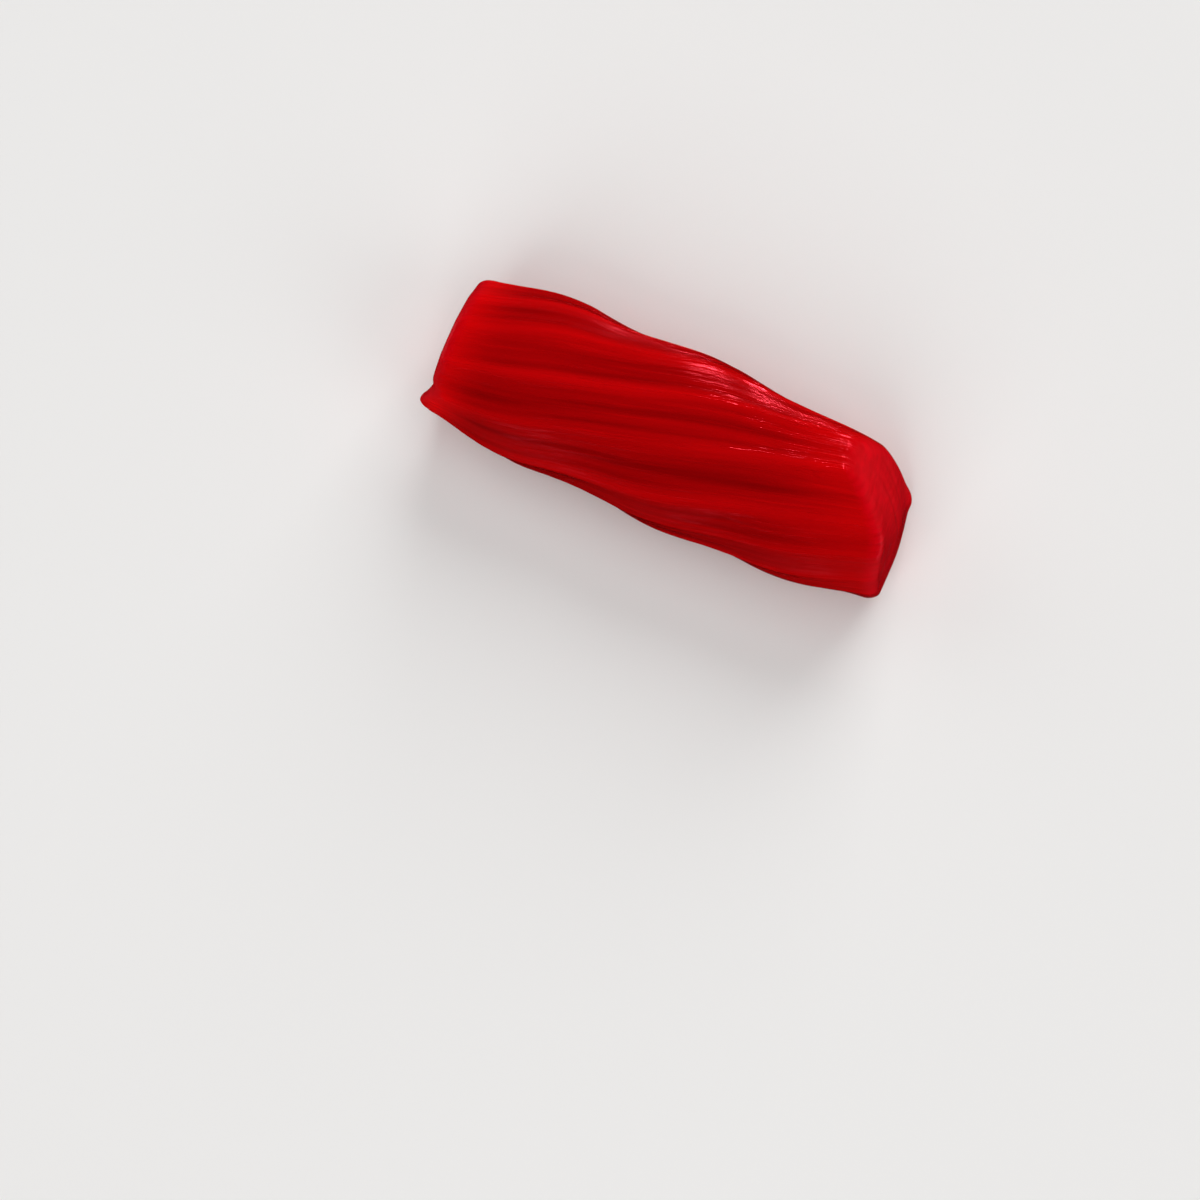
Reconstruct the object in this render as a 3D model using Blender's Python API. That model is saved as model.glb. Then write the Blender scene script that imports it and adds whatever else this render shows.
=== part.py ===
"""A short length of soft red licorice: a twisted, fluted rope, cut at both ends and lying on its side.

The rope runs along X and rests on z = 0, with its origin under the middle of its box. Angles round the
rope are measured from straight up, towards +Y. Lengths are in metres.
"""

import math

import bmesh
import bpy
from mathutils import Matrix, Vector

MM = 0.001

# The rope as it was extruded. The arris angles are those half way along it.
ROPE_LENGTH = 44.6 * MM
ARRIS_RADIUS = 7.97 * MM
ARRIS_ANGLES = (-127, -104, -79, -53, -13, 22, 55, 83, 109, 139, 171, 203)
FLUTE_DEPTH_PER_DEGREE = 0.0085 * MM
TWIST_DEGREES_PER_MM = 2.2

# The rope as it lies: it has sagged under its own weight and rests on a flat strip.
HEIGHT_SHARE = 0.93
BASE_DEPTH = 6.25 * MM
BASE_MARGIN = 0.2 * MM
SWELL = 0.034
SWELL_SPACING = 16 * MM
SWELL_PEAK = 0.4 * MM

# The left cut: upright, with the sides pinched in by the blade and one arris left standing as a lip.
PINCH = 0.135
PINCH_IN_HEIGHT = 0.07
PINCH_REACH = 11 * MM
PINCH_SHIFT = -0.055 * MM
LIP_ANGLE = -86
LIP_WIDTH_DEGREES = 14
LIP_LENGTH = 1.8 * MM
NOTCH_ANGLE = -58
NOTCH_WIDTH_DEGREES = 6
NOTCH_DEPTH = 0.55 * MM

# The right cut: it leans back above, turns back and rolls over into the shoulder above +Y, and one arris
# ends in a tip. The sides draw in towards it, more so at the heel on the other side of the shoulder.
RIGHT_TURN = 0.172
RIGHT_LEAN = 0.2
SHOULDER_ANGLE = 60
SHOULDER_START = 0.2 * MM
SHOULDER_ROLL = 0.086 / MM
SHOULDER_TUCK = 0.14
SHOULDER_REACH = 20 * MM
HEEL_TUCK = 0.22
HEEL_REACH = 12.5 * MM
TIP_ANGLE = 134
TIP_WIDTH_DEGREES = 8
TIP_LENGTH = 0.95 * MM

# Both cuts
CUT_SOFTNESS = 1.5 * MM
CUT_REACH = 19 * MM
RIM_SHARPNESS = 6

# How finely the surface is divided
FLUTE_STEPS = (0, 0.08, 0.28, 0.5, 0.72, 0.92)
RINGS = 41
RIM_ROUNDING = 0.7 * MM
RIM_STEPS = 3
CUT_FACE_RINGS = (0.78, 0.62)
SHARP_DEGREES = 40

LICORICE_RED = (0.38, 0.001, 0.002, 1)
LICORICE_ROUGHNESS = 0.16


def ramp(value, softness):
    """Zero below zero and equal to the value above it, with the corner rounded off."""
    return 0.5 * (value + math.hypot(value, softness))


def fade(distance, reach):
    """One at no distance, falling smoothly to zero at the reach."""
    share = min(max(1 - distance / reach, 0), 1)
    return share * share * (3 - 2 * share)


def bump(angle, centre, width):
    """A rounded bump of height one round an angle, all in degrees."""
    offset = (angle - centre + 180) % 360 - 180
    return math.exp(-((offset / width) ** 2))


def rim_share(point):
    """One at the rim of a cut, falling off steeply towards the middle of its face."""
    return min(math.hypot(point.y, point.z) / ARRIS_RADIUS, 1) ** RIM_SHARPNESS


def section_outline():
    """(angle, radius) of each point of the fluted section, flute by flute."""
    outline = []
    for index, start in enumerate(ARRIS_ANGLES):
        end = ARRIS_ANGLES[(index + 1) % len(ARRIS_ANGLES)]
        width = (end - start) % 360
        depth = FLUTE_DEPTH_PER_DEGREE * width
        for share in FLUTE_STEPS:
            radius = ARRIS_RADIUS - depth * 4 * share * (1 - share)
            outline.append((start + share * width, radius))
    return outline


def twist_out(mesh):
    """Draws the fluted section out along X while it turns, as the rope is extruded."""
    outline = section_outline()
    turn = TWIST_DEGREES_PER_MM * ROPE_LENGTH / MM
    bmesh.ops.create_circle(mesh, cap_ends=False, radius=ARRIS_RADIUS, segments=len(outline))
    for vertex, (middle_angle, radius) in zip(mesh.verts, outline):
        angle = math.radians(middle_angle - turn / 2)
        vertex.co = Vector((-ROPE_LENGTH / 2, radius * math.sin(angle), radius * math.cos(angle)))
    bmesh.ops.spin(
        mesh,
        geom=mesh.verts[:] + mesh.edges[:],
        cent=(0, 0, 0),
        axis=(-1, 0, 0),
        dvec=(ROPE_LENGTH / RINGS, 0, 0),
        angle=math.radians(turn),
        steps=RINGS,
    )


def close_ends(mesh):
    """Fills both cuts, rounds their rims and rings their faces."""
    filled = bmesh.ops.holes_fill(mesh, edges=mesh.edges[:], sides=0)["faces"]
    rims = {edge for face in filled for edge in face.edges}
    bmesh.ops.bevel(
        mesh,
        geom=list(rims),
        offset=RIM_ROUNDING,
        segments=RIM_STEPS,
        profile=0.5,
        affect="EDGES",
        material=-1,
    )
    for face in [face for face in mesh.faces if len(face.verts) > 4]:
        for share in CUT_FACE_RINGS:
            face = bmesh.ops.extrude_discrete_faces(mesh, faces=[face])["faces"][0]
            centre = face.calc_center_median()
            bmesh.ops.scale(
                mesh, vec=(1, share, share), space=Matrix.Translation(-centre), verts=face.verts[:]
            )
        bmesh.ops.poke(mesh, faces=[face])


def slide(point, distance):
    """Moves a point along X and turns it with the twist, so that it stays on its own flute."""
    turn = math.radians(-TWIST_DEGREES_PER_MM * distance / MM)
    return Matrix.Rotation(turn, 3, "X") @ point + Vector((distance, 0, 0))


def left_cut(point):
    """How far the left cut stands from an upright plane at a point of the section."""
    angle = math.degrees(math.atan2(point.y, point.z))
    lip = LIP_LENGTH * bump(angle, LIP_ANGLE, LIP_WIDTH_DEGREES)
    notch = NOTCH_DEPTH * bump(angle, NOTCH_ANGLE, NOTCH_WIDTH_DEGREES)
    return rim_share(point) * (notch - lip)


def right_cut(point):
    """How far the right cut stands from an upright plane at a point of the section."""
    angle = math.radians(SHOULDER_ANGLE)
    across = point.y * math.sin(angle) + point.z * math.cos(angle)
    roll = SHOULDER_ROLL * ramp(across - SHOULDER_START, CUT_SOFTNESS) ** 2
    turn = RIGHT_TURN * ramp(point.y, CUT_SOFTNESS) + RIGHT_LEAN * ramp(point.z, CUT_SOFTNESS)
    tip = TIP_LENGTH * bump(math.degrees(math.atan2(point.y, point.z)), TIP_ANGLE, TIP_WIDTH_DEGREES)
    return rim_share(point) * tip - roll - turn


def cut(point):
    """Gives both ends the slant of their cuts, fading out towards the middle."""
    from_left = point.x + ROPE_LENGTH / 2
    from_right = ROPE_LENGTH / 2 - point.x
    shift = left_cut(point) * fade(from_left, CUT_REACH) + right_cut(point) * fade(from_right, CUT_REACH)
    return slide(point, shift)


def squeeze(point):
    """Swells and sags the section, and draws it in towards the ends."""
    from_left = point.x + ROPE_LENGTH / 2
    from_right = ROPE_LENGTH / 2 - point.x
    pinch = fade(from_left, PINCH_REACH)
    swell = 1 + SWELL * math.cos(2 * math.pi * (point.x - SWELL_PEAK) / SWELL_SPACING)
    width = swell * (1 - PINCH * pinch)
    if point.y > 0:
        width *= 1 - SHOULDER_TUCK * fade(from_right, SHOULDER_REACH)
    else:
        width *= 1 - HEEL_TUCK * fade(from_right, HEEL_REACH)
    height = swell * HEIGHT_SHARE * (1 - PINCH_IN_HEIGHT * pinch)
    return Vector((point.x, point.y * width + PINCH_SHIFT * pinch, point.z * height))


def rest(point):
    """Flattens what would hang below the surface that the rope lies on, or only just clear it."""
    height = point.z + BASE_DEPTH
    return Vector((point.x, point.y, height if height > BASE_MARGIN else 0))


def stand_on_origin(mesh):
    """Moves the origin under the middle of the box."""
    low_x, high_x = (pick(vertex.co.x for vertex in mesh.verts) for pick in (min, max))
    low_y, high_y = (pick(vertex.co.y for vertex in mesh.verts) for pick in (min, max))
    middle = Vector(((low_x + high_x) / 2, (low_y + high_y) / 2, 0))
    bmesh.ops.translate(mesh, vec=-middle, verts=mesh.verts[:])


def licorice_material():
    material = bpy.data.materials.new("soft_red_licorice")
    material.use_nodes = True
    shader = material.node_tree.nodes["Principled BSDF"]
    shader.inputs["Base Color"].default_value = LICORICE_RED
    shader.inputs["Roughness"].default_value = LICORICE_ROUGHNESS
    shader.inputs["Metallic"].default_value = 0
    material.diffuse_color = LICORICE_RED
    return material


def licorice_piece():
    mesh = bmesh.new()
    twist_out(mesh)
    close_ends(mesh)
    for vertex in mesh.verts:
        vertex.co = rest(squeeze(cut(vertex.co)))
    stand_on_origin(mesh)
    bmesh.ops.recalc_face_normals(mesh, faces=mesh.faces[:])
    data = bpy.data.meshes.new("licorice_piece")
    mesh.to_mesh(data)
    mesh.free()
    data.shade_smooth()
    data.set_sharp_from_angle(angle=math.radians(SHARP_DEGREES))
    data.materials.append(licorice_material())
    return bpy.data.objects.new("licorice_piece", data)


def main():
    for item in list(bpy.data.objects):
        bpy.data.objects.remove(item)
    collection = bpy.data.collections.new("soft_licorice")
    bpy.context.scene.collection.children.link(collection)
    collection.objects.link(licorice_piece())


main()
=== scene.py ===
"""A short piece of soft red licorice on a pale floor, in soft studio light.

The piece is a twisted, fluted rope, cut at both ends and lying on its side along X. Lengths are in metres.
Angles round the rope are in degrees from straight up, towards +Y, and grow along +X with its twist.
"""

import logging
import math
from collections.abc import Callable, Iterable, Mapping
from dataclasses import dataclass, field
from enum import Enum
from typing import TypeVar

import bmesh
import bpy
from mathutils import Matrix, Quaternion, Vector, noise

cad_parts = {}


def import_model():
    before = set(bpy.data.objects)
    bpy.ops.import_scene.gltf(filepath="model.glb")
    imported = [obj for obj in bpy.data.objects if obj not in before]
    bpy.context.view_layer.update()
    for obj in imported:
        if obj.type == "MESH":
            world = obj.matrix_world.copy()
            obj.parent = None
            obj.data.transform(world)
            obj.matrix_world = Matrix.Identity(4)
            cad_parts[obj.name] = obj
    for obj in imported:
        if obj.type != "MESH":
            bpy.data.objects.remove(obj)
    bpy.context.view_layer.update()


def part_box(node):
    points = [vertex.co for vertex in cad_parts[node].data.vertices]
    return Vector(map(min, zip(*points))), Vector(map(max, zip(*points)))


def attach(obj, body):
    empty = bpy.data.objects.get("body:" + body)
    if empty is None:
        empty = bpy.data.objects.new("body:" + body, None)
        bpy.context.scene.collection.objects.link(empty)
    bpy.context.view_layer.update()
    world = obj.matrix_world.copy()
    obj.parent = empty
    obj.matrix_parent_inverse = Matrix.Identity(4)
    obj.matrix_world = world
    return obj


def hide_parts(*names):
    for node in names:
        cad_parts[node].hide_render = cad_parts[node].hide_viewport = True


MM = 0.001
CAD_NODE = "licorice_piece"
CAD_BODY = "root"
PIECE_MIDDLE = (0.0, 0.0, 7 * MM)
NOISE_MIDDLE = 0.5

Colour = tuple[float, float, float, float]
Box = tuple[Vector, Vector]
Made = TypeVar("Made")

log = logging.getLogger("soft_licorice")


def ramp(value: float, softness: float) -> float:
    """The value where it is above zero and zero below, with the corner rounded off by the softness."""
    return 0.5 * (value + math.hypot(value, softness))


def fade(distance: float, reach: float) -> float:
    """Falls smoothly from one, at no distance, to zero at the reach."""
    share = min(max(1 - distance / reach, 0), 1)
    return share * share * (3 - 2 * share)


def bump(offset: float, width: float) -> float:
    """A rounded bump of height one, which has fallen to about a third at its width from the middle."""
    return math.exp(-((offset / width) ** 2))


def angle_between(first: float, second: float) -> float:
    """The turn from the second angle to the first, in degrees, from -180 to 180."""
    return (first - second + 180) % 360 - 180


def angle_of(point: Vector) -> float:
    """The angle round the rope's axis at which a point lies, in degrees."""
    return math.degrees(math.atan2(point.y, point.z))


class End(Enum):
    """The rope's two cut ends, by the side of the origin on which they lie."""

    LEFT = -1
    RIGHT = 1

    def distance(self, point: Vector, length: float) -> float:
        """How far inside this end of a rope of a given length a point lies."""
        return length / 2 - self.value * point.x


@dataclass(frozen=True)
class FlutedSection:
    """The rope's section as it leaves the die: arrises with hollow flutes between them."""

    radius: float = 7.97 * MM
    arris_angles: tuple[float, ...] = (-127, -104, -79, -53, -13, 22, 55, 83, 109, 139, 171, 203)
    depth_per_degree: float = 0.0085 * MM
    shallow_from: float = 22
    shallow_to: float = 83
    shallow_share: float = 0.45
    arris_rounding: float = 0.12
    columns: int = 300

    def flutes(self) -> list[tuple[float, float]]:
        """The flutes, in their order round the rope.

        Returns:
            The angle at which each flute starts, and its width in degrees.
        """
        starts = self.arris_angles
        ends = starts[1:] + starts[:1]
        return [(start, (end - start) % 360) for start, end in zip(starts, ends)]

    def depth(self, start: float, width: float) -> float:
        """How deep the flute is that starts at an angle and has a width in degrees."""
        shallow = self.shallow_from <= start < self.shallow_to
        return self.depth_per_degree * width * (self.shallow_share if shallow else 1)

    def hollow(self, share: float) -> float:
        """How far down into its flute the surface is, from zero on the arris to one at the bottom.

        Args:
            share: How far across the flute, from zero to one.

        Returns:
            A share of the flute's depth.
        """
        rounding = self.arris_rounding
        full = math.hypot(1, rounding) - rounding
        return (math.hypot(4 * share * (1 - share), rounding) - rounding) / full

    def share_of_flute(self, angle: float) -> float:
        """How far across its flute an angle half way along the rope lies, from zero to one."""
        offsets = (((angle - start) % 360, width) for start, width in self.flutes())
        return next((offset / width for offset, width in offsets if offset <= width), 0.0)

    def outline(self) -> list[tuple[float, float]]:
        """The section's outline, with the points of one flute after those of another.

        Returns:
            The angle and radius of every point.
        """
        points = []
        for start, width in self.flutes():
            count = max(round(self.columns * width / 360), 2)
            for step in range(count):
                share = step / count
                depth = self.depth(start, width) * self.hollow(share)
                points.append((start + share * width, self.radius - depth))
        return points


@dataclass(frozen=True)
class Nick:
    """A small hollow pressed into the surface, long and narrow along its flute."""

    along: float
    angle: float
    length: float
    width: float
    depth: float

    def hollow(self, along: float, around: float, radius: float) -> float:
        """How far this nick sinks the skin at a place along the rope, on the flute with a middle angle."""
        across = math.radians(angle_between(around, self.angle)) * radius
        return self.depth * bump(along - self.along, self.length) * bump(across, self.width)


@dataclass(frozen=True)
class Grain:
    """Noise drawn out along the flutes, by how long its features are and how far apart across them."""

    run: float
    spacing: float
    height: float
    seed: float

    def rise(self, along: float, angle: float, radius: float) -> float:
        """How far the grain raises the skin at a place on the rope.

        Args:
            along: The place along the rope.
            angle: Its angle, half way along the rope.
            radius: The rope's radius.

        Returns:
            A height, negative in a hollow.
        """
        turn = math.radians(angle)
        across, up = math.sin(turn) * radius / self.spacing, math.cos(turn) * radius / self.spacing
        return self.height * noise.noise(Vector((along / self.run + self.seed, across, up)))


@dataclass(frozen=True)
class DieMarks:
    """The unevenness of the rope's skin: wandering arrises, ridges, fine lines, crinkles and a few nicks."""

    grains: tuple[Grain, ...] = (
        Grain(run=13 * MM, spacing=5 * MM, height=0.05 * MM, seed=0.4),
        Grain(run=22 * MM, spacing=1.2 * MM, height=0.08 * MM, seed=11.3),
        Grain(run=7 * MM, spacing=0.42 * MM, height=0.05 * MM, seed=4.7),
        Grain(run=1.8 * MM, spacing=0.5 * MM, height=0.018 * MM, seed=8.1),
    )
    nicks: tuple[Nick, ...] = (
        Nick(along=7.0 * MM, angle=-63, length=0.7 * MM, width=0.22 * MM, depth=0.16 * MM),
        Nick(along=8.8 * MM, angle=-58, length=0.9 * MM, width=0.2 * MM, depth=0.14 * MM),
        Nick(along=5.2 * MM, angle=-50, length=1.1 * MM, width=0.18 * MM, depth=0.12 * MM),
        Nick(along=-17.0 * MM, angle=8, length=1.2 * MM, width=0.3 * MM, depth=0.15 * MM),
        Nick(along=15.8 * MM, angle=-21, length=0.7 * MM, width=0.25 * MM, depth=0.14 * MM),
    )

    def height(self, along: float, angle: float, radius: float) -> float:
        """How far the skin stands above the plain section, at a place on the flute with a middle angle."""
        raised = sum(grain.rise(along, angle, radius) for grain in self.grains)
        return raised - sum(nick.hollow(along, angle, radius) for nick in self.nicks)


@dataclass(frozen=True)
class LeftCut:
    """The left cut: upright, the sides pinched in by the blade and one arris left standing as a lip."""

    lip_angle: float = -86
    lip_width: float = 14
    lip_length: float = 1.8 * MM
    notch_angle: float = -58
    notch_width: float = 6
    notch_depth: float = 0.55 * MM

    def shift(self, point: Vector, rim: float) -> float:
        """How far along X the cut lies from an upright plane.

        Args:
            point: A point of the section.
            rim: One at the rim of the cut, falling to zero in the middle of its face.

        Returns:
            A distance along X.
        """
        angle = angle_of(point)
        lip = self.lip_length * bump(angle_between(angle, self.lip_angle), self.lip_width)
        notch = self.notch_depth * bump(angle_between(angle, self.notch_angle), self.notch_width)
        return rim * (notch - lip)


@dataclass(frozen=True)
class RightCut:
    """The right cut: it leans and turns back and rolls over into the shoulder above +Y, with a tip below."""

    turn: float = 0.172
    lean: float = 0.2
    shoulder_angle: float = 60
    shoulder_start: float = 0.2 * MM
    shoulder_roll: float = 0.086 / MM
    tip_angle: float = 134
    tip_width: float = 8
    tip_length: float = 0.95 * MM
    softness: float = 1.5 * MM

    def shift(self, point: Vector, rim: float) -> float:
        """How far along X the cut lies from an upright plane.

        Args:
            point: A point of the section.
            rim: One at the rim of the cut, falling to zero in the middle of its face.

        Returns:
            A distance along X.
        """
        angle = math.radians(self.shoulder_angle)
        across = point.y * math.sin(angle) + point.z * math.cos(angle)
        roll = self.shoulder_roll * ramp(across - self.shoulder_start, self.softness) ** 2
        turn = self.turn * ramp(point.y, self.softness) + self.lean * ramp(point.z, self.softness)
        tip = self.tip_length * bump(angle_between(angle_of(point), self.tip_angle), self.tip_width)
        return rim * tip - roll - turn


@dataclass(frozen=True)
class CutFace:
    """The skin of both cuts: slightly dished, with the blade's drag marks across it."""

    rounding: float = 1.2 * MM
    rounding_steps: int = 8
    rings: int = 22
    innermost: float = 0.04
    dish: float = 0.35 * MM
    drag_spacing: float = 0.9 * MM
    drag_run: float = 6 * MM
    drag: float = 0.12 * MM
    drag_tilt: float = 20
    drag_seed: float = 3.7
    flat_share: float = 4

    def sink(self, point: Vector, radius: float) -> float:
        """How far a point of the face lies inside the cut's own surface.

        Args:
            point: A point of the flat face.
            radius: The rope's radius.

        Returns:
            A depth.
        """
        share = min(math.hypot(point.y, point.z) / radius, 1)
        turn = math.radians(self.drag_tilt)
        along = point.y * math.cos(turn) + point.z * math.sin(turn)
        across = point.z * math.cos(turn) - point.y * math.sin(turn)
        seed = math.copysign(self.drag_seed, point.x)
        place = Vector((along / self.drag_run, across / self.drag_spacing, seed))
        inside = 1 - share**self.flat_share
        return inside * (self.dish * (1 - share**2) + self.drag * noise.noise(place))


@dataclass(frozen=True)
class Lie:
    """How the soft rope has settled: swollen here and there, pinched at the left cut and flat beneath."""

    height_share: float = 0.93
    base_depth: float = 6.25 * MM
    base_softness: float = 0.2 * MM
    swell: float = 0.034
    swell_spacing: float = 16 * MM
    swell_peak: float = 0.4 * MM
    pinch: float = 0.135
    pinch_in_height: float = 0.07
    pinch_reach: float = 11 * MM
    pinch_shift: float = -0.055 * MM
    shoulder_tuck: float = 0.14
    shoulder_reach: float = 20 * MM
    heel_tuck: float = 0.22
    heel_reach: float = 12.5 * MM

    def squeeze(self, point: Vector, length: float) -> Vector:
        """Swells and sags the section at a point, and draws it in towards the ends.

        Args:
            point: A point of the straight rope.
            length: The rope's length.

        Returns:
            Where the point goes.
        """
        pinch = fade(End.LEFT.distance(point, length), self.pinch_reach)
        swell = 1 + self.swell * math.cos(2 * math.pi * (point.x - self.swell_peak) / self.swell_spacing)
        width = swell * (1 - self.pinch * pinch)
        if point.y > 0:
            width *= 1 - self.shoulder_tuck * fade(End.RIGHT.distance(point, length), self.shoulder_reach)
        else:
            width *= 1 - self.heel_tuck * fade(End.RIGHT.distance(point, length), self.heel_reach)
        height = swell * self.height_share * (1 - self.pinch_in_height * pinch)
        return Vector((point.x, point.y * width + self.pinch_shift * pinch, point.z * height))

    def rest(self, point: Vector) -> Vector:
        """Lays a point on the floor where it would hang below it.

        Args:
            point: A point of the squeezed rope, with its height measured from the axis.

        Returns:
            Where the point goes, with its height measured from the floor.
        """
        height = point.z + self.base_depth
        if height <= -self.base_softness:
            height = 0.0
        elif height < self.base_softness:
            height = (height + self.base_softness) ** 2 / (4 * self.base_softness)
        return Vector((point.x, point.y, height))


class Signal:
    """A node's output as a number, from which Python's operators make Math nodes."""

    def __init__(self, board: "NodeBoard", socket: bpy.types.NodeSocket) -> None:
        """Wraps an output of a node on a board."""
        self.board = board
        self.socket = socket

    def _maths(self, operation: str, first: "Signal | float", second: "Signal | float") -> "Signal":
        """Adds a Math node on two values."""
        return self.board.add("ShaderNodeMath", {"operation": operation}, {0: first, 1: second})

    def __add__(self, other: "Signal | float") -> "Signal":
        """The sum."""
        return self._maths("ADD", self, other)

    def __radd__(self, other: float) -> "Signal":
        """The sum, with the number first."""
        return self._maths("ADD", other, self)

    def __sub__(self, other: "Signal | float") -> "Signal":
        """The difference."""
        return self._maths("SUBTRACT", self, other)

    def __rsub__(self, other: float) -> "Signal":
        """The difference, with the number first."""
        return self._maths("SUBTRACT", other, self)

    def __mul__(self, other: "Signal | float") -> "Signal":
        """The product."""
        return self._maths("MULTIPLY", self, other)

    def __rmul__(self, other: float) -> "Signal":
        """The product, with the number first."""
        return self._maths("MULTIPLY", other, self)


Feed = Signal | float | tuple[float, ...]


class NodeBoard:
    """The node tree of one material."""

    def __init__(self, name: str) -> None:
        """Makes the material.

        Args:
            name: Its name.
        """
        self.material = bpy.data.materials.new(name)
        self.material.use_nodes = True
        self.tree = self.material.node_tree
        self.shader = self.tree.nodes["Principled BSDF"]

    def node(
        self, kind: str, settings: Mapping[str, object], inputs: Mapping[str | int, Feed]
    ) -> bpy.types.Node:
        """Adds any node.

        Args:
            kind: The node's type.
            settings: Its own settings, which are set before its sockets.
            inputs: The value or link of each socket, by name or place.

        Returns:
            The node.
        """
        made = self.tree.nodes.new(kind)
        for name, setting in settings.items():
            setattr(made, name, setting)
        for place, feed in inputs.items():
            self.feed(made.inputs[place], feed)
        return made

    def add(
        self,
        kind: str,
        settings: Mapping[str, object],
        inputs: Mapping[str | int, Feed],
        output: str | int = 0,
    ) -> Signal:
        """Adds any node, as node does, and takes the output with a name or place."""
        return Signal(self, self.node(kind, settings, inputs).outputs[output])

    def feed(self, socket: bpy.types.NodeSocket, feed: Feed) -> None:
        """Links an output to a socket, or sets its value.

        Args:
            socket: An input.
            feed: The output or the value.
        """
        if isinstance(feed, Signal):
            self.tree.links.new(feed.socket, socket)
        else:
            socket.default_value = feed

    def attribute(self, name: str, output: str = "Fac") -> Signal:
        """Reads an attribute of the piece's own mesh."""
        return self.add("ShaderNodeAttribute", {"attribute_name": name}, {}, output)

    def stretched_noise(self, vector: Signal, scale: tuple[float, float, float], detail: float) -> Signal:
        """Noise from zero to one, with so many features in a metre along each axis and so many octaves."""
        place = self.add("ShaderNodeMapping", {"vector_type": "POINT"}, {"Vector": vector, "Scale": scale})
        return self.add("ShaderNodeTexNoise", {}, {"Vector": place, "Scale": 1.0, "Detail": detail})

    def between(self, share: Signal, low: float, high: float) -> Signal:
        """Goes from zero to one while a share goes from low to high, smoothly."""
        settings = {"interpolation_type": "SMOOTHSTEP"}
        return self.add("ShaderNodeMapRange", settings, {"Value": share, "From Min": low, "From Max": high})

    def mix(self, share: Signal, first: Feed, second: Feed) -> Signal:
        """Goes from one colour to another.

        Args:
            share: How much of the second colour there is, from zero to one.
            first: The first colour.
            second: The second colour.

        Returns:
            The mixed colour.
        """
        node = self.node("ShaderNodeMix", {"data_type": "RGBA"}, {"Factor": share})
        colours = [socket for socket in node.inputs if socket.type == "RGBA"]
        self.feed(colours[0], first)
        self.feed(colours[1], second)
        made = next(socket for socket in node.outputs if socket.type == "RGBA")
        return Signal(self, made)


class Layer(Enum):
    """What the piece's mesh says about each of its points, for its material."""

    ROPE = "rope"
    CREST = "crest"
    CUT = "cut"
    # Share of painted glow, lightening the skin towards the ends and on the lip.
    END = "end"


@dataclass(frozen=True)
class Streaks:
    """Noise drawn out along the flutes: its features in a metre along, across and up, and its octaves."""

    along: float
    across: float
    up: float
    detail: float = 2.0

    def make(self, board: NodeBoard, place: Signal) -> Signal:
        """Adds the noise, from zero to one, at a place on the straight rope."""
        return board.stretched_noise(place, (self.along, self.across, self.up), self.detail)


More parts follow.
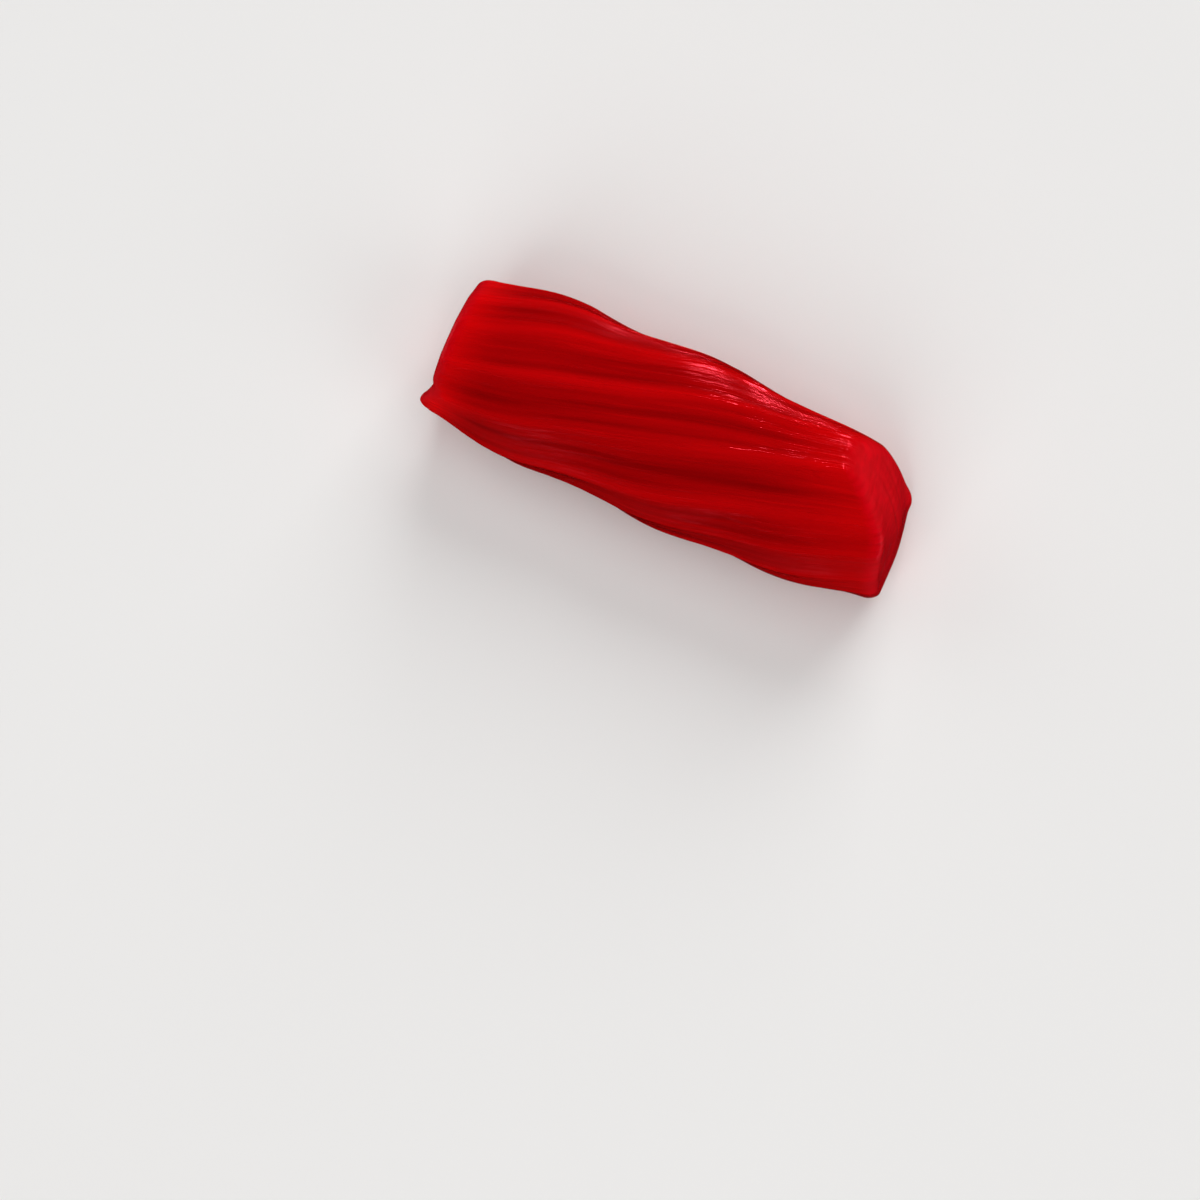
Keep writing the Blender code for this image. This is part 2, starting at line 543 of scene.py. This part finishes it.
@dataclass(frozen=True)
class LicoriceFinish:
    """Soft red licorice: a dark, clear red with a moist gloss. Its colour holds painted light: lighter on the
    arrises, darker in the flutes, and a painted glow at the ends and on the cut faces.
    """

    # The skin's red runs from deep to bright. Random bands and threads move it, and so does painted arris
    # light, lighter on the arrises and darker down in the flutes.
    deep: Colour = (0.235, 0.0004, 0.001, 1)
    bright: Colour = (0.53, 0.001, 0.002, 1)
    # Painted glow: the skin's red towards the ends and on the lip, lighter as if light shone through the thin
    # ends.
    end: Colour = (0.86, 0.0016, 0.003, 1)
    # The cut faces' two reds, between which the blade's drag marks run. Both are painted lighter than the
    # skin, a painted glow standing in for light through the thin cut.
    cut_deep: Colour = (0.5, 0.0008, 0.004, 1)
    cut_bright: Colour = (0.64, 0.001, 0.007, 1)
    bands: Streaks = Streaks(45.0, 1100.0, 1100.0)
    threads: Streaks = Streaks(110.0, 4200.0, 4200.0)
    grain: Streaks = Streaks(650.0, 4600.0, 4600.0)
    marks: Streaks = Streaks(60.0, 420.0, 3600.0, 3.0)
    thread_edges: tuple[float, float] = (0.5, 0.72)
    mark_edges: tuple[float, float] = (0.25, 0.75)
    flute_tone: float = 0.3
    painted_arris_light: float = 0.5
    band_tone: float = 1.2
    thread_tone: float = 0.2
    roughness: float = 0.16
    crest_edges: tuple[float, float] = (0.2, 0.7)
    crest_polish: float = 0.03
    grain_dullness: float = 0.1
    cut_dullness: float = 0.08
    thread_relief: float = 0.25
    crest_relief: float = 0.45
    grain_relief: float = 0.14
    mark_relief: float = 0.6
    relief_depth: float = 0.09 * MM
    shine: float = 0.6
    shine_tint: Colour = (1.0, 0.3, 0.35, 1)
    glow: float = 0.2
    glow_radius: tuple[float, float, float] = (1.0, 0.08, 0.05)
    glow_depth: float = 0.9 * MM

    def make(self) -> bpy.types.Material:
        """Makes the material.

        Returns:
            The material.
        """
        board = NodeBoard("soft_red_licorice")
        shader = board.shader
        rope = board.attribute(Layer.ROPE.value, "Vector")
        crest, end, cut = (board.attribute(layer.value) for layer in (Layer.CREST, Layer.END, Layer.CUT))
        marks = self.marks.make(board, rope)
        bands = self.bands.make(board, rope) - NOISE_MIDDLE
        threads = board.between(self.threads.make(board, rope), *self.thread_edges)
        grain = self.grain.make(board, rope)

        # Painted light: the crest lightens the arrises and leaves the flutes darker, on top of the random
        # bands and threads.
        tone = self.flute_tone + crest * self.painted_arris_light + bands * self.band_tone + threads * self.thread_tone
        # Painted glow: the skin lightens to the end colour towards both ends and on the lip.
        skin = board.mix(end, board.mix(tone, self.deep, self.bright), self.end)
        # The cut faces: drag marks between two reds, both painted lighter than the skin as glow through the
        # cut.
        face = board.mix(board.between(marks, *self.mark_edges), self.cut_deep, self.cut_bright)
        board.feed(shader.inputs["Base Color"], board.mix(cut, skin, face))

        polish = board.between(crest, *self.crest_edges) * self.crest_polish
        dulled = (grain - NOISE_MIDDLE) * self.grain_dullness + cut * self.cut_dullness
        rough = self.roughness - polish + dulled
        board.feed(shader.inputs["Roughness"], rough)

        relief = threads * (self.thread_relief + crest * self.crest_relief) + grain * self.grain_relief
        height = relief * (1 - cut) + marks * cut * self.mark_relief
        normal = board.add("ShaderNodeBump", {}, {"Distance": self.relief_depth, "Height": height})
        board.feed(shader.inputs["Normal"], normal)

        shader.inputs["Specular IOR Level"].default_value = self.shine
        shader.inputs["Specular Tint"].default_value = self.shine_tint
        shader.inputs["Subsurface Weight"].default_value = self.glow
        shader.inputs["Subsurface Radius"].default_value = self.glow_radius
        shader.inputs["Subsurface Scale"].default_value = self.glow_depth
        return board.material


@dataclass
class LicoricePiece:
    """The piece: a fluted rope drawn out and twisted, cut at both ends and settled on the floor."""

    length: float = 44.6 * MM
    twist: float = 2.2 / MM
    steps: int = 250
    cut_reach: float = 19 * MM
    rim_sharpness: float = 6
    skin_sharpness: float = 8
    face_tolerance: float = 0.01 * MM
    cut_blend: float = 1.6 * MM
    # Painted glow: how strongly and how far the skin is lightened towards each end and round the lip,
    # standing in for light through the thin ends.
    left_glow: float = 0.53
    left_glow_reach: float = 7 * MM
    right_glow: float = 0.22
    right_glow_reach: float = 13 * MM
    lip_glow_reach: float = 6 * MM
    lip_glow_width: float = 22
    section: FlutedSection = field(default_factory=FlutedSection)
    marks: DieMarks = field(default_factory=DieMarks)
    left_cut: LeftCut = field(default_factory=LeftCut)
    right_cut: RightCut = field(default_factory=RightCut)
    face: CutFace = field(default_factory=CutFace)
    lie: Lie = field(default_factory=Lie)
    finish: LicoriceFinish = field(default_factory=LicoriceFinish)

    @property
    def wall_length(self) -> float:
        """The length of the rope's wall, without the rounding of its rims."""
        return self.length - 2 * self.face.rounding

    def draw_out(self, mesh: bmesh.types.BMesh) -> None:
        """Draws the section out along X while it turns.

        Args:
            mesh: An empty mesh, which gets the rope's wall.
        """
        outline = self.section.outline()
        turn = self.twist * self.wall_length
        bmesh.ops.create_circle(mesh, cap_ends=False, radius=self.section.radius, segments=len(outline))
        for vertex, (middle_angle, radius) in zip(mesh.verts, outline):
            angle = math.radians(middle_angle - turn / 2)
            vertex.co = (-self.wall_length / 2, radius * math.sin(angle), radius * math.cos(angle))
        bmesh.ops.spin(
            mesh,
            geom=mesh.verts[:] + mesh.edges[:],
            cent=(0, 0, 0),
            axis=(-1, 0, 0),
            dvec=(self.wall_length / self.steps, 0, 0),
            angle=math.radians(turn),
            steps=self.steps,
        )

    def rings_of(self, end: End) -> Iterable[tuple[float, float]]:
        """The rings that close an end: round the rim, then in across the face of the cut.

        Args:
            end: Which end.

        Yields:
            Where the ring is along X, and its share of the section's size.
        """
        rounding = self.face.rounding
        for step in range(1, self.face.rounding_steps + 1):
            angle = math.pi / 2 * step / self.face.rounding_steps
            out = self.wall_length / 2 + rounding * math.sin(angle)
            yield end.value * out, 1 - rounding * (1 - math.cos(angle)) / self.section.radius
        rim = 1 - rounding / self.section.radius
        for step in range(1, self.face.rings + 1):
            share = rim + (self.face.innermost - rim) * step / self.face.rings
            yield end.value * self.length / 2, share

    def close_end(self, mesh: bmesh.types.BMesh, end: End) -> None:
        """Closes one end of the wall with rings of faces and a pole.

        Args:
            mesh: The rope.
            end: Which end.
        """
        open_edges = [edge for edge in mesh.edges if edge.is_boundary]
        rim = [edge for edge in open_edges if edge.verts[0].co.x * end.value > 0]
        size = 1.0
        for along, share in self.rings_of(end):
            made = bmesh.ops.extrude_edge_only(mesh, edges=rim)["geom"]
            rim = [item for item in made if isinstance(item, bmesh.types.BMEdge)]
            points = [item for item in made if isinstance(item, bmesh.types.BMVert)]
            bmesh.ops.scale(mesh, vec=(1, share / size, share / size), verts=points)
            bmesh.ops.translate(mesh, vec=(along - points[0].co.x, 0, 0), verts=points)
            size = share
        cap = bmesh.ops.holes_fill(mesh, edges=rim, sides=0)["faces"]
        bmesh.ops.poke(mesh, faces=cap)

    def middle_angle(self, point: Vector) -> float:
        """The angle that a point's flute has half way along the rope."""
        return angle_of(point) - self.twist * point.x

    def describe(self, mesh: bmesh.types.BMesh) -> None:
        """Writes each point's place on the straight rope to the mesh, for the material.

        Args:
            mesh: The straight rope.
        """
        rope = mesh.verts.layers.float_vector.new(Layer.ROPE.value)
        crest = mesh.verts.layers.float.new(Layer.CREST.value)
        cut = mesh.verts.layers.float.new(Layer.CUT.value)
        end = mesh.verts.layers.float.new(Layer.END.value)
        for vertex in mesh.verts:
            angle = self.middle_angle(vertex.co)
            radius = math.hypot(vertex.co.y, vertex.co.z)
            turn = math.radians(angle)
            left, right = (side.distance(vertex.co, self.length) for side in End)
            lip = bump(angle_between(angle_of(vertex.co), self.left_cut.lip_angle), self.lip_glow_width)
            vertex[rope] = Vector((vertex.co.x, radius * math.sin(turn), radius * math.cos(turn)))
            vertex[crest] = 1 - self.section.hollow(self.section.share_of_flute(angle))
            vertex[cut] = fade(min(left, right), self.cut_blend)
            # Painted glow towards the ends and on the lip, in place of light shining through them.
            glow = self.left_glow * fade(left, self.left_glow_reach) ** 2
            glow += self.right_glow * fade(right, self.right_glow_reach)
            vertex[end] = min(glow + lip * fade(left, self.lip_glow_reach), 1)

    def marked(self, point: Vector) -> Vector:
        """Raises or sinks a point of the straight rope by the marks of the die and the blade.

        Args:
            point: A point of the straight rope.

        Returns:
            Where the point goes.
        """
        radius = math.hypot(point.y, point.z)
        share = min(radius / self.section.radius, 1)
        height = self.marks.height(point.x, self.middle_angle(point), self.section.radius)
        scale = 1 + share**self.skin_sharpness * height / max(radius, self.section.radius / 2)
        moved = Vector((point.x, point.y * scale, point.z * scale))
        nearest = min(End, key=lambda side: side.distance(point, self.length))
        if nearest.distance(point, self.length) < self.face_tolerance:
            moved.x -= nearest.value * self.face.sink(point, self.section.radius)
        return moved

    def cut(self, point: Vector) -> Vector:
        """Gives both ends the slant of their cuts, fading out towards the middle.

        Args:
            point: A point of the rope.

        Returns:
            Where the point goes, on its own flute.
        """
        rim = min(math.hypot(point.y, point.z) / self.section.radius, 1) ** self.rim_sharpness
        from_left, from_right = (side.distance(point, self.length) for side in End)
        shift = self.left_cut.shift(point, rim) * fade(from_left, self.cut_reach)
        shift += self.right_cut.shift(point, rim) * fade(from_right, self.cut_reach)
        return Matrix.Rotation(math.radians(-self.twist * shift), 3, "X") @ point + Vector((shift, 0, 0))

    def fit(self, mesh: bmesh.types.BMesh, box: Box) -> None:
        """Brings the piece to the place and size of its solid.

        Args:
            mesh: The finished shape.
            box: The solid's lowest and highest corner.
        """
        low = Vector([min(vertex.co[axis] for vertex in mesh.verts) for axis in range(3)])
        high = Vector([max(vertex.co[axis] for vertex in mesh.verts) for axis in range(3)])
        scale = [(box[1][axis] - box[0][axis]) / (high[axis] - low[axis]) for axis in range(3)]
        log.info("the shape is scaled by %s to fit its solid", [round(share, 4) for share in scale])
        bmesh.ops.translate(mesh, vec=-low, verts=mesh.verts[:])
        bmesh.ops.scale(mesh, vec=scale, verts=mesh.verts[:])
        bmesh.ops.translate(mesh, vec=box[0], verts=mesh.verts[:])

    def build(self) -> bpy.types.Object:
        """Models the piece where its solid is, and dresses it.

        Returns:
            The piece.
        """
        mesh = bmesh.new()
        self.draw_out(mesh)
        for end in End:
            self.close_end(mesh, end)
        self.describe(mesh)
        for vertex in mesh.verts:
            straight = self.cut(self.marked(vertex.co))
            vertex.co = self.lie.rest(self.lie.squeeze(straight, self.length))
        self.fit(mesh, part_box(CAD_NODE))
        bmesh.ops.recalc_face_normals(mesh, faces=mesh.faces[:])
        data = bpy.data.meshes.new("twisted_licorice")
        mesh.to_mesh(data)
        mesh.free()
        data.shade_smooth()
        data.materials.append(self.finish.make())
        piece = bpy.data.objects.new("twisted_licorice", data)
        bpy.context.scene.collection.objects.link(piece)
        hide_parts(CAD_NODE)
        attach(piece, CAD_BODY)
        return piece


def direction(azimuth: float, elevation: float) -> Vector:
    """The way to a place seen from the piece.

    Args:
        azimuth: Round the piece, in degrees, from -Y towards +X.
        elevation: Above the floor, in degrees.

    Returns:
        A vector of length one.
    """
    turn, rise = math.radians(azimuth), math.radians(elevation)
    flat = math.cos(rise)
    return Vector((math.sin(turn) * flat, -math.cos(turn) * flat, math.sin(rise)))


def area_lamp(
    name: str, size: tuple[float, float], radiance: float, place: Vector, facing: Vector
) -> bpy.types.Object:
    """Places an evenly glowing rectangle that the camera doesn't see.

    Args:
        name: The lamp's name.
        size: Its width and height.
        radiance: How bright its face is.
        place: Where its middle is.
        facing: The way that it shines.

    Returns:
        The lamp.
    """
    data = bpy.data.lights.new(name, "AREA")
    data.shape = "RECTANGLE"
    data.size, data.size_y = size
    data.energy = radiance * math.pi * data.size * data.size_y
    lamp = bpy.data.objects.new(name, data)
    lamp.location = place
    lamp.rotation_euler = facing.to_track_quat("-Z", "Y").to_euler()
    lamp.visible_camera = False
    bpy.context.scene.collection.objects.link(lamp)
    return lamp


@dataclass(frozen=True)
class Softbox:
    """A large soft lamp that faces the piece and doesn't show in its gloss."""

    name: str
    azimuth: float
    elevation: float
    distance: float
    width: float
    height: float
    radiance: float

    def build(self, target: Vector) -> bpy.types.Object:
        """Places the lamp.

        Args:
            target: What it faces.

        Returns:
            The lamp.
        """
        back = direction(self.azimuth, self.elevation)
        place = target + back * self.distance
        lamp = area_lamp(self.name, (self.width, self.height), self.radiance, place, -back)
        lamp.data.cycles.use_multiple_importance_sampling = False
        lamp.visible_glossy = False
        return lamp


@dataclass(frozen=True)
class Card:
    """A narrow glowing card that stands on the floor near the piece, and lights nothing else."""

    name: str
    azimuth: float
    width: float
    height: float
    radiance: float
    distance: float = 45 * MM
    sideways: float = 0
    clearance: float = 1.5 * MM
    colour: tuple[float, float, float] = (1.0, 0.13, 0.19)

    def build(self, lit: bpy.types.Collection) -> bpy.types.Object:
        """Places the card.

        Args:
            lit: A collection that holds what the card lights.

        Returns:
            The card.
        """
        back = direction(self.azimuth, 0)
        aside = direction(self.azimuth + 90, 0) * self.sideways
        place = back * self.distance + aside + Vector((0, 0, self.clearance + self.height / 2))
        card = area_lamp(self.name, (self.width, self.height), self.radiance, place, -back)
        card.data.color = self.colour
        card.light_linking.receiver_collection = lit
        return card


@dataclass(frozen=True)
class Viewpoint:
    """Where the photograph was taken from, and where the piece lies in its frame."""

    azimuth: float = 24.3
    elevation: float = 80
    lens: float = 100
    sensor: float = 36
    frame_pixels: float = 1200
    pixels_per_metre: float = 11 / MM
    piece_pixel: tuple[float, float] = (675, 437)

    def heading(self, back: Vector, distance: float) -> Quaternion:
        """Turns the camera so that the piece comes to its place in the frame.

        Args:
            back: The way from the piece to the camera.
            distance: How far away the camera is.

        Returns:
            The camera's rotation.
        """
        straight = (-back).to_track_quat("-Z", "Y")
        across = (self.piece_pixel[0] - self.frame_pixels / 2) / self.pixels_per_metre
        up = (self.frame_pixels / 2 - self.piece_pixel[1]) / self.pixels_per_metre
        forward = -back * distance - straight @ Vector((across, up, 0))
        return (-back).rotation_difference(forward) @ straight

    def build(self) -> bpy.types.Object:
        """Sets the camera up.

        Returns:
            The camera.
        """
        data = bpy.data.cameras.new("camera")
        data.lens = self.lens
        data.sensor_width = self.sensor
        camera = bpy.data.objects.new("camera", data)
        back = direction(self.azimuth, self.elevation)
        distance = self.frame_pixels / self.pixels_per_metre * self.lens / self.sensor
        camera.location = Vector(PIECE_MIDDLE) + back * distance
        camera.rotation_euler = self.heading(back, distance).to_euler()
        bpy.context.scene.collection.objects.link(camera)
        bpy.context.scene.camera = camera
        return camera


@dataclass(frozen=True)
class FloorFinish:
    """Plain pale matt board."""

    colour: Colour = (0.86, 0.85, 0.84, 1)
    shade: Colour = (0.83, 0.82, 0.81, 1)
    roughness: float = 0.75
    mottle_scale: tuple[float, float, float] = (9.0, 9.0, 9.0)
    mottle_detail: float = 2.0

    def make(self) -> bpy.types.Material:
        """Makes the material.

        Returns:
            The material.
        """
        board = NodeBoard("pale_board")
        place = board.add("ShaderNodeTexCoord", {}, {}, "Object")
        mottle = board.stretched_noise(place, self.mottle_scale, self.mottle_detail)
        board.feed(board.shader.inputs["Base Color"], board.mix(mottle, self.shade, self.colour))
        board.shader.inputs["Roughness"].default_value = self.roughness
        return board.material


@dataclass
class Studio:
    """The floor, the light and the camera."""

    floor_half: float = 8.0
    surround: Colour = (0.8, 0.8, 0.8, 1)
    floor_finish: FloorFinish = field(default_factory=FloorFinish)
    viewpoint: Viewpoint = field(default_factory=Viewpoint)
    softboxes: tuple[Softbox, ...] = (
        Softbox("overhead", azimuth=180, elevation=88, distance=4.8, width=5.4, height=5.4, radiance=0.93),
        Softbox("back_box", azimuth=180, elevation=30, distance=4.2, width=3.0, height=3.0, radiance=4.5),
        Softbox("front_box", azimuth=0, elevation=40, distance=4.2, width=3.0, height=3.0, radiance=2.9),
        Softbox("right_box", azimuth=80, elevation=35, distance=3.6, width=2.4, height=2.4, radiance=1.5),
        Softbox("left_box", azimuth=-95, elevation=30, distance=3.6, width=2.4, height=2.4, radiance=1.0),
    )
    cards: tuple[Card, ...] = (
        Card("back_card", azimuth=180, sideways=3.2 * MM, width=10.5 * MM, height=2.3 * MM, radiance=62.0),
        Card("back_right_card", azimuth=180, sideways=-13 * MM, width=7 * MM, height=2.3 * MM, radiance=90.0),
        Card("front_card", azimuth=0, width=50 * MM, height=3 * MM, radiance=2.0),
        Card("right_card", azimuth=90, distance=60 * MM, width=30 * MM, height=3 * MM, radiance=6.0),
        Card("left_card", azimuth=-90, distance=60 * MM, width=30 * MM, height=3 * MM, radiance=8.0),
    )

    def lay_floor(self) -> bpy.types.Object:
        """Lays the floor under the piece.

        Returns:
            The floor.
        """
        mesh = bmesh.new()
        bmesh.ops.create_grid(mesh, x_segments=1, y_segments=1, size=self.floor_half)
        data = bpy.data.meshes.new("floor")
        mesh.to_mesh(data)
        mesh.free()
        data.materials.append(self.floor_finish.make())
        floor = bpy.data.objects.new("floor", data)
        bpy.context.scene.collection.objects.link(floor)
        floor.visible_glossy = False
        return floor

    def surround_view(self) -> None:
        """Puts a pale room behind the floor, which only the camera sees."""
        world = bpy.data.worlds.new("pale_room")
        world.use_nodes = True
        world.node_tree.nodes["Background"].inputs["Color"].default_value = self.surround
        bpy.context.scene.world = world
        for ray in ("diffuse", "glossy", "transmission", "scatter"):
            setattr(world.cycles_visibility, ray, False)

    def build(self, piece: bpy.types.Object) -> None:
        """Sets the studio up round the piece.

        Args:
            piece: What the cards light.
        """
        bpy.context.scene.view_settings.view_transform = "Standard"
        self.lay_floor()
        self.surround_view()
        for softbox in self.softboxes:
            softbox.build(Vector(PIECE_MIDDLE))
        lit = bpy.data.collections.new("lit_by_cards")
        lit.objects.link(piece)
        for card in self.cards:
            card.build(lit)
        self.viewpoint.build()


def report(step: str, make: Callable[[], Made]) -> Made:
    """Makes something and logs it.

    Args:
        step: What is made.
        make: What makes it.

    Returns:
        What was made.
    """
    made = make()
    log.info("made the %s", step)
    return made


def main() -> None:
    """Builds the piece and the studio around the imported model."""
    logging.basicConfig(level=logging.INFO, format="%(name)s: %(message)s")
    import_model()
    piece = report("piece", LicoricePiece().build)
    report("studio", lambda: Studio().build(piece))
    log.info("%s has %d faces", piece.name, len(piece.data.polygons))
    bpy.context.view_layer.update()


if __name__ == "__main__":
    main()
